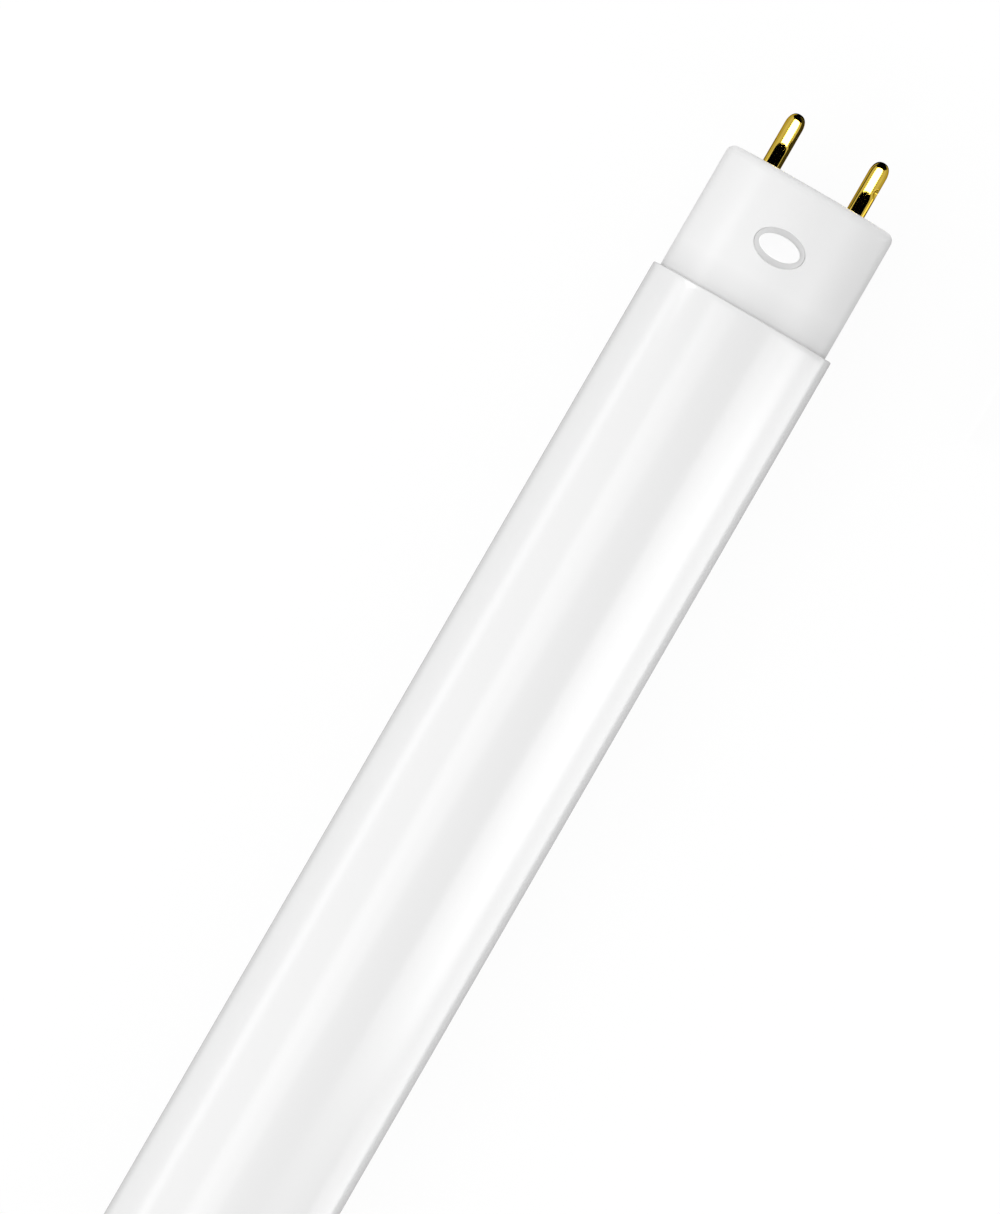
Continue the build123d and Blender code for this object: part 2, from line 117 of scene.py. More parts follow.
class Shader:
    """A material's node tree, built step by step round one Principled shader."""

    def __init__(self, name: str) -> None:
        """Start an empty material of that name.

        Args:
            name: The material's name.
        """
        self.material = bpy.data.materials.new(name)
        self.tree = blank_tree(self.material)
        self.surface = self.tree.nodes.new("ShaderNodeBsdfPrincipled")
        output = self.tree.nodes.new("ShaderNodeOutputMaterial")
        self.join(self.surface.outputs["BSDF"], output.inputs["Surface"])
        self.place = self.tree.nodes.new("ShaderNodeTexCoord").outputs["Object"]

    def join(self, source: bpy.types.NodeSocket, target: bpy.types.NodeSocket) -> None:
        """Link one socket to another."""
        self.tree.links.new(source, target)

    def set(self, **values: object) -> None:
        """Set constants on the shader's own sockets, an underscore standing for a space.

        Args:
            values: Socket names in lower case, with their values.
        """
        sockets = {socket.name.lower().replace(" ", "_"): socket for socket in self.surface.inputs}
        for name, value in values.items():
            sockets[name].default_value = value

    def stretched(self, grain: Grain, size_mm: float) -> bpy.types.NodeSocket:
        """Object coordinates scaled so that one unit is a mark's size.

        Args:
            grain: How the marks run.
            size_mm: The size of a mark across its run.

        Returns:
            The Mapping node's vector.
        """
        mapping = self.tree.nodes.new("ShaderNodeMapping")
        mapping.inputs["Scale"].default_value = [share / (size_mm * MM) for share in grain.value]
        self.join(self.place, mapping.inputs["Vector"])
        return mapping.outputs["Vector"]

    def noise(self, grain: Grain, size_mm: float, detail: float = 3.0) -> bpy.types.NodeSocket:
        """A noise value from 0 to 1.

        Args:
            grain: How the marks run.
            size_mm: The size of a mark.
            detail: The octaves of finer marks in it.

        Returns:
            The noise's factor socket.
        """
        texture = self.tree.nodes.new("ShaderNodeTexNoise")
        texture.inputs["Scale"].default_value = 1.0
        texture.inputs["Detail"].default_value = detail
        self.join(self.stretched(grain, size_mm), texture.inputs["Vector"])
        return texture.outputs["Fac"]

    def spread(
        self, value: bpy.types.NodeSocket, source: Range, result: Range = (0.0, 1.0)
    ) -> bpy.types.NodeSocket:
        """The value spread evenly from one range over another, and kept inside it.

        Args:
            value: The socket to read.
            source: The range that the value is read over.
            result: What it becomes at the two ends of that range.

        Returns:
            The Map Range node's result.
        """
        node = self.tree.nodes.new("ShaderNodeMapRange")
        sockets = ("From Min", "From Max", "To Min", "To Max")
        for socket, limit in zip(sockets, (*source, *result)):
            node.inputs[socket].default_value = limit
        self.join(value, node.inputs["Value"])
        return node.outputs["Result"]

    def mix(
        self, share: bpy.types.NodeSocket, first: Colour, second: Colour
    ) -> bpy.types.NodeSocket:
        """A colour between two, by a share from 0 to 1.

        Args:
            share: The socket that says how much of the second colour shows.
            first: The colour at 0.
            second: The colour at 1.

        Returns:
            The Mix node's colour.
        """
        blend = self.tree.nodes.new("ShaderNodeMix")
        blend.data_type = "RGBA"
        blend.inputs[6].default_value = (*first, 1.0)
        blend.inputs[7].default_value = (*second, 1.0)
        self.join(share, blend.inputs["Factor"])
        return blend.outputs[2]

    def part(self, vector: bpy.types.NodeSocket, axis: str) -> bpy.types.NodeSocket:
        """One coordinate of a vector.

        Args:
            vector: The vector's socket.
            axis: X, Y or Z.

        Returns:
            The coordinate's socket.
        """
        split = self.tree.nodes.new("ShaderNodeSeparateXYZ")
        self.join(vector, split.inputs["Vector"])
        return split.outputs[axis]

    def math(self, operation: str, *values: bpy.types.NodeSocket | float) -> bpy.types.NodeSocket:
        """A Math node's result.

        Args:
            operation: The node's operation.
            values: Its sockets or constants, in order.

        Returns:
            The result's socket.
        """
        node = self.tree.nodes.new("ShaderNodeMath")
        node.operation = operation
        for target, value in zip(node.inputs, values):
            if isinstance(value, bpy.types.NodeSocket):
                self.join(value, target)
            else:
                target.default_value = value
        return node.outputs["Value"]

    def overlay(self, share: bpy.types.NodeSocket, colour: Colour) -> None:
        """Lay a colour over the shader's own by a share.

        Args:
            share: How much of the colour shows, from 0 to 1.
            colour: The colour on top.
        """
        target = self.surface.inputs["Base Color"]
        blend = self.tree.nodes.new("ShaderNodeMix")
        blend.data_type = "RGBA"
        blend.inputs[7].default_value = (*colour, 1.0)
        self.join(share, blend.inputs["Factor"])
        self.join(target.links[0].from_socket, blend.inputs[6])
        self.join(blend.outputs[2], target)

    def bump(self, height: bpy.types.NodeSocket, depth_mm: float) -> None:
        """Join relief to the shader's normal.

        Args:
            height: The relief's height from 0 to 1.
            depth_mm: How deep the relief is.
        """
        relief = self.tree.nodes.new("ShaderNodeBump")
        relief.inputs["Distance"].default_value = depth_mm * MM
        self.join(height, relief.inputs["Height"])
        self.join(relief.outputs["Normal"], self.surface.inputs["Normal"])


@dataclass(frozen=True)
class Finish:
    """A finish whose colour, gloss and relief follow one grain."""

    slot: str
    colour: Colour
    shade: Colour
    roughness: float
    roughness_swing: float = 0.06
    metallic: float = 0.0
    grain: Grain = Grain.EVEN
    mark_mm: float = 0.4
    relief_mm: float = 0.01
    cloud_mm: float = 6.0
    ior: float = 1.5

    def shader(self) -> Shader:
        """The finish as a shader.

        Returns:
            The node tree, with colour, roughness and relief joined.
        """
        shader = Shader(self.slot)
        clouds = shader.noise(self.grain, self.cloud_mm)
        marks = shader.noise(self.grain, self.mark_mm)
        tone = shader.mix(shader.spread(clouds, NOISE_RANGE), self.colour, self.shade)
        swing = (self.roughness - self.roughness_swing, self.roughness + self.roughness_swing)
        gloss = shader.spread(marks, NOISE_RANGE, swing)
        shader.join(tone, shader.surface.inputs["Base Color"])
        shader.join(gloss, shader.surface.inputs["Roughness"])
        shader.bump(marks, self.relief_mm)
        shader.set(metallic=self.metallic, ior=self.ior)
        self.refine(shader)
        return shader

    def refine(self, shader: Shader) -> None:
        """Add what one kind of finish has of its own."""

    def material(self) -> bpy.types.Material:
        """The finish as a material."""
        return self.shader().material


@dataclass(frozen=True)
class CapFinish(Finish):
    """White moulded plastic, with painted shade that darkens it where it comes out of the tube."""

    # Painted shade: the colour the cap is darkened to next to the tube's rim, and how far that reaches.
    painted_rim_shade: Colour = (0.72, 0.72, 0.72)
    painted_rim_shade_reach_mm: float = 4.5
    gloss_level: float = 0.25

    def refine(self, shader: Shader) -> None:
        """Fade the painted shade in towards the tube's rim, at both ends, and keep the gloss low.

        Args:
            shader: The finish's shader.
        """
        shader.set(specular_ior_level=self.gloss_level)
        rim_x = node_box("diffuser_tube")[1].x
        distance = shader.math("ABSOLUTE", shader.part(shader.place, "X"))
        # Painted shade: the cap grows darker over the last few millimetres before the tube's rim, where
        # the rim's shade falls.
        shader.overlay(shader.spread(distance, (rim_x + self.painted_rim_shade_reach_mm * MM, rim_x)), self.painted_rim_shade)


@dataclass(frozen=True)
class SiliconeFinish(Finish):
    """White silicone with painted shade in the moat round its raised middle."""

    # Painted shade: the grey laid in the moat, and the heights below the middle's top over which it fades
    # in.
    moat_painted_shade: Colour = (0.68, 0.68, 0.68)
    moat_top_mm: float = 0.25
    moat_floor_mm: float = 0.35

    def refine(self, shader: Shader) -> None:
        """Paint shade on what lies below the raised middle's top, in the moat.

        Args:
            shader: The finish's shader.
        """
        top = node_box("port_fill_a")[1].z
        moat_painted_shade = (top - self.moat_top_mm * MM, top - self.moat_floor_mm * MM)
        # Painted shade in the moat, darker towards its floor.
        shader.overlay(shader.spread(shader.part(shader.place, "Z"), moat_painted_shade), self.moat_painted_shade)


@dataclass(frozen=True)
class BrassFinish(Finish):
    """Bright brass, turned in a lathe, with edges that reflect browner than its face."""

    edge_colour: Colour = (0.45, 0.3, 0.12)

    def refine(self, shader: Shader) -> None:
        """Tint what is seen at a glancing angle."""
        shader.set(specular_tint=(*self.edge_colour, 1.0))


@dataclass(frozen=True)
class FilmFinish(Finish):
    """Thin smoky film that shows a little of what it is wrapped round."""

    clearness: float = 0.35

    def refine(self, shader: Shader) -> None:
        """Let some light through."""
        shader.set(transmission_weight=self.clearness)


@dataclass(frozen=True)
class LedFinish(Finish):
    """A white moulded frame round a shallow well of yellow phosphor."""

    phosphor: Colour = (0.86, 0.6, 0.05)
    well_depth_mm: float = 0.12
    upward_from: float = 0.9

    def refine(self, shader: Shader) -> None:
        """Colour the well's floor, which lies below the frame's top and faces the same way.

        Args:
            shader: The finish's shader.
        """
        half_down = node_box("led_01")[1].z - self.well_depth_mm * MM / 2
        below = shader.math("LESS_THAN", shader.part(shader.place, "Z"), half_down)
        normal = shader.tree.nodes.new("ShaderNodeNewGeometry").outputs["Normal"]
        upward = shader.math("GREATER_THAN", shader.part(normal, "Z"), self.upward_from)
        shader.overlay(shader.math("MULTIPLY", below, upward), self.phosphor)


@dataclass(frozen=True)
class WoundFinish(Finish):
    """Enamelled copper wire in close turns, seen as rings round an upright coil."""

    wire_mm: float = 0.3
    wire_relief_mm: float = 0.1

    def refine(self, shader: Shader) -> None:
        """Lay the turns in the place of the fine marks' relief.

        Args:
            shader: The finish's shader.
        """
        turns = shader.tree.nodes.new("ShaderNodeTexWave")
        turns.bands_direction = "Z"
        turns.inputs["Scale"].default_value = 2 * math.pi / (WAVE_RADIANS * self.wire_mm * MM)
        turns.inputs["Distortion"].default_value = 0.0
        shader.join(shader.place, turns.inputs["Vector"])
        shader.bump(turns.outputs["Fac"], self.wire_relief_mm)


FINISHES: tuple[Finish, ...] = (
    Finish(
        "opal_diffuser", (0.77, 0.77, 0.77), (0.76, 0.76, 0.76), 0.22, 0.02,
        grain=Grain.ALONG_TUBE, mark_mm=0.5, relief_mm=0.0012, cloud_mm=9.0, ior=1.55,
    ),
    CapFinish(
        "cap_plastic", (0.82, 0.82, 0.82), (0.805, 0.805, 0.805), 0.34, 0.04,
        mark_mm=0.22, relief_mm=0.004, cloud_mm=8.0, ior=1.45,
    ),
    SiliconeFinish(
        "port_silicone", (0.93, 0.93, 0.93), (0.915, 0.915, 0.915), 0.5, 0.05,
        mark_mm=0.5, relief_mm=0.006, cloud_mm=3.0, ior=1.41,
    ),
    BrassFinish(
        "contact_brass", (0.5, 0.355, 0.052), (0.44, 0.3, 0.045), 0.03, 0.003, 1.0,
        grain=Grain.ROUND_THE_AXIS, mark_mm=0.3, relief_mm=0.0002, cloud_mm=2.0,
    ),
    Finish(
        "extruded_aluminium", (0.62, 0.63, 0.64), (0.55, 0.56, 0.57), 0.38, 0.08, 1.0,
        grain=Grain.ALONG_TUBE, mark_mm=0.3, relief_mm=0.012, cloud_mm=5.0,
    ),
    Finish("thermal_tape", (0.7, 0.71, 0.68), (0.62, 0.63, 0.6), 0.8, mark_mm=0.3, relief_mm=0.02),
    Finish("white_board", (0.82, 0.82, 0.79), (0.78, 0.78, 0.75), 0.35, mark_mm=0.5, relief_mm=0.008),
    Finish("green_board", (0.01, 0.09, 0.03), (0.02, 0.13, 0.05), 0.3, mark_mm=0.6, relief_mm=0.015),
    FilmFinish(
        "sleeve_film", (0.02, 0.02, 0.024), (0.03, 0.03, 0.034), 0.25, mark_mm=1.5, relief_mm=0.02,
    ),
    LedFinish("led_package", (0.85, 0.85, 0.83), (0.8, 0.8, 0.78), 0.3, mark_mm=0.2, relief_mm=0.004),
    Finish("resistor_coating", (0.09, 0.17, 0.13), (0.07, 0.13, 0.1), 0.6, mark_mm=0.3, relief_mm=0.03),
    Finish(
        "film_capacitor_case", (0.5, 0.02, 0.01), (0.42, 0.015, 0.008), 0.2, mark_mm=1.2, relief_mm=0.02,
    ),
    Finish(
        "black_package", (0.012, 0.012, 0.014), (0.02, 0.02, 0.022), 0.55, mark_mm=0.15, relief_mm=0.008,
    ),
    Finish(
        "capacitor_can", (0.012, 0.015, 0.028), (0.02, 0.022, 0.035), 0.28,
        grain=Grain.ROUND_THE_AXIS, mark_mm=0.8, relief_mm=0.01,
    ),
    Finish("ferrite", (0.03, 0.03, 0.034), (0.05, 0.05, 0.055), 0.7, mark_mm=0.2, relief_mm=0.02),
    WoundFinish(
        "copper_winding", (0.56, 0.15, 0.05), (0.45, 0.11, 0.035), 0.25, metallic=1.0,
        grain=Grain.FLAT_LAYERS, mark_mm=0.3,
    ),
    Finish("white_lead", (0.75, 0.75, 0.72), (0.7, 0.7, 0.67), 0.45, mark_mm=0.4, relief_mm=0.008),
    Finish("black_lead", (0.012, 0.012, 0.012), (0.02, 0.02, 0.02), 0.4, mark_mm=0.4, relief_mm=0.008),
    Finish("red_lead", (0.36, 0.01, 0.008), (0.3, 0.008, 0.006), 0.4, mark_mm=0.4, relief_mm=0.008),
)


@dataclass
class Palette:
    """Every finish's material by its slot."""

    materials: dict[str, bpy.types.Material] = field(default_factory=dict)

    def __post_init__(self) -> None:
        """Make each material once."""
        for finish in FINISHES:
            self.materials[finish.slot] = finish.material()

    def dress_node(self, node: bpy.types.Object) -> None:
        """Give a CAD node the material of the slot that it came with.

        Args:
            node: The CAD node's object.
        """
        for material_slot in node.material_slots:
            name = material_slot.material.name.split(".")[0] if material_slot.material else ""
            material_slot.material = self.materials[name]

    def dress_piece(self, piece: bpy.types.Object, slot: str) -> None:
        """Give a new piece the material of that slot."""
        piece.data.materials.append(self.materials[slot])


def place_piece(shape: bmesh.types.BMesh, name: str, crease_degrees: float) -> bpy.types.Object:
    """Turn a bmesh into a smooth-shaded piece that rides on the lamp's body.

    Args:
        shape: The finished shape, in place and in metres. It is freed.
        name: The piece's name.
        crease_degrees: The angle above which an edge stays sharp.

    Returns:
        The new object, at the origin.
    """
    bmesh.ops.recalc_face_normals(shape, faces=shape.faces)
    for face in shape.faces:
        face.smooth = True
    for edge in shape.edges:
        edge.smooth = edge.calc_face_angle(0.0) < math.radians(crease_degrees)
    piece = add_to_scene(shape, name)
    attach(piece, BODY)
    return piece


@dataclass
class DiffuserTube:
    """The opal tube: a thin wall with a rib along each side of its bore."""

    node: str = "diffuser_tube"
    wall_mm: float = 0.9
    rib_reach_mm: float = 1.3
    rib_bottom_mm: float = -0.5
    rib_top_mm: float = 0.3
    rim_round_mm: float = 0.2
    rim_band_mm: float = 0.8
    rim_facets: int = 4
    facets: int = 192
    spans: int = 6
    crease_degrees: float = 40.0

    def build(self, palette: Palette) -> bpy.types.Object:
        """Build the tube and dress it.

        Args:
            palette: The finishes.

        Returns:
            The tube.
        """
        low, high = node_box(self.node)
        radius = high.y
        bore = radius - self.wall_mm * MM
        shape = bmesh.new()
        self.draw_ring(shape, radius, bore, low.x)
        self.stretch(shape, low.x, high.x)
        self.raise_ribs(shape, bore)
        self.round_rims(shape, radius, low.x, high.x)
        tube = place_piece(shape, "opal_tube", self.crease_degrees)
        palette.dress_piece(tube, "opal_diffuser")
        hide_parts(self.node)
        return tube

    def draw_ring(self, shape: bmesh.types.BMesh, radius: float, bore: float, x: float) -> None:
        """Draw the tube's section as a flat ring across X.

        Args:
            shape: The mesh to draw in.
            radius: The outer radius.
            bore: The inner radius.
            x: Where the ring stands.
        """
        bmesh.ops.create_circle(shape, cap_ends=False, radius=radius, segments=self.facets)
        inner = bmesh.ops.extrude_edge_only(shape, edges=shape.edges[:])["geom"]
        inner_verts = [item for item in inner if isinstance(item, bmesh.types.BMVert)]
        bmesh.ops.scale(shape, vec=(bore / radius, bore / radius, 1.0), verts=inner_verts)
        bmesh.ops.rotate(shape, matrix=Matrix.Rotation(math.radians(90), 3, "Y"), verts=shape.verts)
        bmesh.ops.translate(shape, vec=(x, 0.0, 0.0), verts=shape.verts)

    def stretch(self, shape: bmesh.types.BMesh, start_x: float, end_x: float) -> None:
        """Extrude the ring along X, with a narrow band at each rim that holds the shading.

        Args:
            shape: The mesh with the ring in it.
            start_x: The ring's place.
            end_x: The far rim.
        """
        band = self.rim_band_mm * MM
        middle = end_x - start_x - 2 * band
        steps = [band] + [middle / self.spans] * self.spans + [band]
        moving = shape.faces[:]
        for step in steps:
            grown = bmesh.ops.extrude_face_region(shape, geom=moving)["geom"]
            verts = [item for item in grown if isinstance(item, bmesh.types.BMVert)]
            moving = [item for item in grown if isinstance(item, bmesh.types.BMFace)]
            bmesh.ops.translate(shape, vec=(step, 0.0, 0.0), verts=verts)

    def raise_ribs(self, shape: bmesh.types.BMesh, bore: float) -> None:
        """Cut the bore at the ribs' edges and extrude the strips between inwards.

        Args:
            shape: The tube.
            bore: The bore's radius.
        """
        middle_radius = bore + self.wall_mm * MM / 2
        bottom, top = self.rib_bottom_mm * MM, self.rib_top_mm * MM
        for height in (bottom, top):
            wall = self.faces_within(shape, middle_radius)
            edges = {edge for face in wall for edge in face.edges}
            verts = {vert for face in wall for vert in face.verts}
            bmesh.ops.bisect_plane(
                shape, geom=[*wall, *edges, *verts], plane_co=(0.0, 0.0, height), plane_no=(0.0, 0.0, 1.0)
            )
        for way in (-1, 1):
            strip = [
                face for face in self.faces_within(shape, middle_radius)
                if way * face.calc_center_median().y > 0 and bottom < face.calc_center_median().z < top
            ]
            grown = bmesh.ops.extrude_face_region(shape, geom=strip)["geom"]
            for item in grown:
                if isinstance(item, bmesh.types.BMVert):
                    item.co.y = way * (bore - self.rib_reach_mm * MM)

    @staticmethod
    def faces_within(shape: bmesh.types.BMesh, radius: float) -> list[bmesh.types.BMFace]:
        """The faces that lie wholly inside a radius round X.

        Args:
            shape: The tube.
            radius: The radius.

        Returns:
            The faces, in their order.
        """
        return [
            face for face in shape.faces
            if all(math.hypot(vert.co.y, vert.co.z) < radius for vert in face.verts)
        ]

    def round_rims(
        self, shape: bmesh.types.BMesh, radius: float, start_x: float, end_x: float
    ) -> None:
        """Round the outer edge of each rim.

        Args:
            shape: The tube.
            radius: The outer radius.
            start_x: One rim's place.
            end_x: The other rim's place.
        """
        slack = 1e-6
        rims = [
            edge for edge in shape.edges
            if all(
                abs(math.hypot(vert.co.y, vert.co.z) - radius) < slack
                and (abs(vert.co.x - start_x) < slack or abs(vert.co.x - end_x) < slack)
                for vert in edge.verts
            )
            and abs(edge.verts[0].co.x - edge.verts[1].co.x) < slack
        ]
        bmesh.ops.bevel(
            shape, geom=rims, offset=self.rim_round_mm * MM, offset_type="OFFSET",
            segments=self.rim_facets, profile=ROUND_PROFILE, affect="EDGES", material=-1,
        )


@dataclass
class ContactPin:
    """One turned brass pin: nose, pinch marks, shank in the cap, collar, and a cup for the lead.

    A pin of end B is that of end A turned half way round the vertical.
    """

    number: int
    end: str
    radius_mm: float = 1.3
    shank_radius_mm: float = 1.5
    collar_radius_mm: float = 2.0
    collar_length_mm: float = 0.8
    tail_radius_mm: float = 0.9
    tail_length_mm: float = 3.4
    cup_radius_mm: float = 0.65
    cup_depth_mm: float = 2.4
    nose_length_mm: float = 1.9
    nose_fullness: float = 0.65
    nose_steps: int = 16
    ring_mm: float = 0.055
    facets: int = 112
    pinch_height_mm: float = 3.6
    pinch_ball_radius_mm: float = 1.0
    pinch_depth_mm: float = 0.25
    pinch_turn_degrees: float = 58.0
    weld: float = 1e-7
    crease_degrees: float = 35.0

    @property
    def node(self) -> str:
        """The CAD node that this pin replaces."""
        return f"contact_pin_{self.number}_{self.end}"

    def build(self, palette: Palette) -> bpy.types.Object:
        """Build the pin and dress it.

        Args:
            palette: The finishes.

        Returns:
            The pin.
        """
        low, high = node_box(f"contact_pin_{self.number}_a")
        face_x = node_box("end_cap_a")[1].x
        pin_y = (low.y + high.y) / 2
        shape = bmesh.new()
        self.turn(shape, self.outline(low.x, face_x, high.x), pin_y)
        self.pinch(shape, face_x, pin_y)
        if self.end == "b":
            half_turn = Matrix.Rotation(math.pi, 3, "Z")
            bmesh.ops.rotate(shape, cent=(0.0, 0.0, 0.0), matrix=half_turn, verts=shape.verts)
        pin = place_piece(shape, f"brass_pin_{self.number}_{self.end}", self.crease_degrees)
        palette.dress_piece(pin, "contact_brass")
        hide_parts(self.node)
        return pin

    def outline(self, tail_x: float, face_x: float, tip_x: float) -> list[tuple[float, float]]:
        """The half section from the cup's floor to the tip.

        Args:
            tail_x: The tail's end.
            face_x: The cap's outer face.
            tip_x: The nose's tip.

        Returns:
            Points as X and distance from the pin's axis.
        """
        collar_x = tail_x + self.tail_length_mm * MM
        boss_x = collar_x + self.collar_length_mm * MM
        nose_x = tip_x - self.nose_length_mm * MM
        cup_x = tail_x + self.cup_depth_mm * MM
        radius, shank = self.radius_mm * MM, self.shank_radius_mm * MM
        collar, tail, cup = (
            size * MM for size in (self.collar_radius_mm, self.tail_radius_mm, self.cup_radius_mm)
        )
        points = [
            (cup_x, 0.0), (cup_x, cup), (tail_x, cup), (tail_x, tail), (collar_x, tail),
            (collar_x, collar), (boss_x, collar), (boss_x, shank), (face_x, shank), (face_x, radius),
        ]
        rings = math.ceil((nose_x - face_x) / (self.ring_mm * MM))
        points += [(face_x + (nose_x - face_x) * ring / rings, radius) for ring in range(1, rings + 1)]
        points += self.nose(nose_x, tip_x, radius)
        return points

    def nose(self, nose_x: float, tip_x: float, radius: float) -> list[tuple[float, float]]:
        """Points of the nose's curve, after its first.

        Args:
            nose_x: Where the nose starts.
            tip_x: The tip.
            radius: The pin's radius.

        Returns:
            Points as X and distance from the pin's axis.
        """
        control = (
            (nose_x, radius),
            (nose_x + self.nose_fullness * (tip_x - nose_x), radius),
            (tip_x, self.nose_fullness * radius),
            (tip_x, 0.0),
        )
        points = []
        for step in range(1, self.nose_steps + 1):
            share = step / self.nose_steps
            rest = 1 - share
            weights = (rest**3, 3 * share * rest**2, 3 * share**2 * rest, share**3)
            x, distance = (
                sum(weight * point[axis] for weight, point in zip(weights, control)) for axis in (0, 1)
            )
            points.append((x, distance))
        return points

    def turn(self, shape: bmesh.types.BMesh, points: list[tuple[float, float]], pin_y: float) -> None:
        """Spin the half section round the pin's axis.

        Args:
            shape: The mesh to make it in.
            points: The half section.
            pin_y: Where the axis stands.
        """
        verts = [shape.verts.new((x, pin_y, distance)) for x, distance in points]
        edges = [shape.edges.new(pair) for pair in zip(verts, verts[1:])]
        bmesh.ops.spin(
            shape, geom=[*verts, *edges], cent=(0.0, pin_y, 0.0), axis=(1.0, 0.0, 0.0),
            dvec=(0.0, 0.0, 0.0), angle=2 * math.pi, steps=self.facets, use_merge=True,
            use_duplicate=False,
        )
        bmesh.ops.remove_doubles(shape, verts=shape.verts, dist=self.weld)

    def pinch(self, shape: bmesh.types.BMesh, face_x: float, pin_y: float) -> None:
        """Press a ball into the pin from two opposite sides.

        Args:
            shape: The turned pin.
            face_x: The cap's outer face.
            pin_y: Where the axis stands.
        """
        ball = self.pinch_ball_radius_mm * MM
        reach = self.radius_mm * MM + ball - self.pinch_depth_mm * MM
        turn = math.radians(self.pinch_turn_degrees)
        for side in (-1, 1):
            centre = Vector((
                face_x + self.pinch_height_mm * MM,
                pin_y + side * reach * math.sin(turn),
                -side * reach * math.cos(turn),
            ))
            for vert in shape.verts:
                offset = vert.co - centre
                if offset.length >= ball:
                    continue
                outward = Vector((0.0, vert.co.y - pin_y, vert.co.z)).normalized()
                along = offset.dot(outward)
                depth = along + math.sqrt(along * along - offset.length_squared + ball * ball)
                vert.co -= outward * depth


@dataclass(frozen=True)
class Softbox:
    """A soft light over the lamp, in line with it, leaning from straight up towards -Y.

    Unless it lights what is matt too, it shows in the gloss only. It may light a few pieces only.
    """

    name: str
    lean_degrees: float
    distance: float
    width_degrees: float
    reach: Range
    radiance: float
    lights_matt: bool = True
    only: tuple[bpy.types.Object, ...] = ()

    def hang(self) -> None:
        """Make the light, facing the lamp's axis and unseen by the camera."""
        lean = math.radians(self.lean_degrees)
        width = 2 * self.distance * math.tan(math.radians(self.width_degrees) / 2)
        start_x, end_x = self.reach
        length = end_x - start_x
        light = bpy.data.lights.new(self.name, "AREA")
        light.shape = "RECTANGLE"
        light.size = length
        light.size_y = width
        light.energy = self.radiance * math.pi * length * width
        lamp = bpy.data.objects.new(self.name, light)
        lamp.location = (
            (start_x + end_x) / 2,
            -self.distance * math.sin(lean),
            self.distance * math.cos(lean),
        )
        lamp.rotation_euler = (lean, 0.0, 0.0)
        lamp.visible_camera = False
        lamp.visible_diffuse = self.lights_matt
        bpy.context.scene.collection.objects.link(lamp)
        if self.only:
            lit = bpy.data.collections.new(f"{self.name}_lights")
            for piece in self.only:
                lit.objects.link(piece)
            lamp.light_linking.receiver_collection = lit


class Facing(Enum):
    """Which way a card faces, as the turn of a flat sheet about Y and about X, in degrees."""

    UP = (0.0, 0.0)
    ALONG_X = (90.0, 0.0)
    ALONG_Y = (0.0, 90.0)


@dataclass(frozen=True)
class Card:
    """A flat card beside the lamp, unseen by the camera: black, or with an even glow.

    Unless it shades, only the lamp's gloss shows it.
    """

    name: str
    facing: Facing
    centre: tuple[float, float, float]
    size: tuple[float, float]
    glow: float = 0.0
    shades: bool = False

    def stand(self) -> None:
        """Make the card."""
        about_y, about_x = (math.radians(turn) for turn in self.facing.value)
        shape = bmesh.new()
        bmesh.ops.create_grid(shape, x_segments=1, y_segments=1, size=0.5)
        bmesh.ops.scale(shape, vec=(*self.size, 1.0), verts=shape.verts)
        bmesh.ops.rotate(shape, matrix=Matrix.Rotation(about_y, 3, "Y"), verts=shape.verts)
        bmesh.ops.rotate(shape, matrix=Matrix.Rotation(about_x, 3, "X"), verts=shape.verts)
        bmesh.ops.translate(shape, vec=self.centre, verts=shape.verts)
        card = add_to_scene(shape, self.name)
        card.data.materials.append(self.material())
        card.visible_camera = False
        card.visible_diffuse = self.shades
        card.visible_shadow = self.shades

    def material(self) -> bpy.types.Material:
        """The card's even glow, of which black has none.

        Returns:
            The material.
        """
        material = bpy.data.materials.new(self.name)
        tree = blank_tree(material)
        glow = tree.nodes.new("ShaderNodeEmission")
        glow.inputs["Strength"].default_value = self.glow
        output = tree.nodes.new("ShaderNodeOutputMaterial")
        tree.links.new(glow.outputs["Emission"], output.inputs["Surface"])
        return material


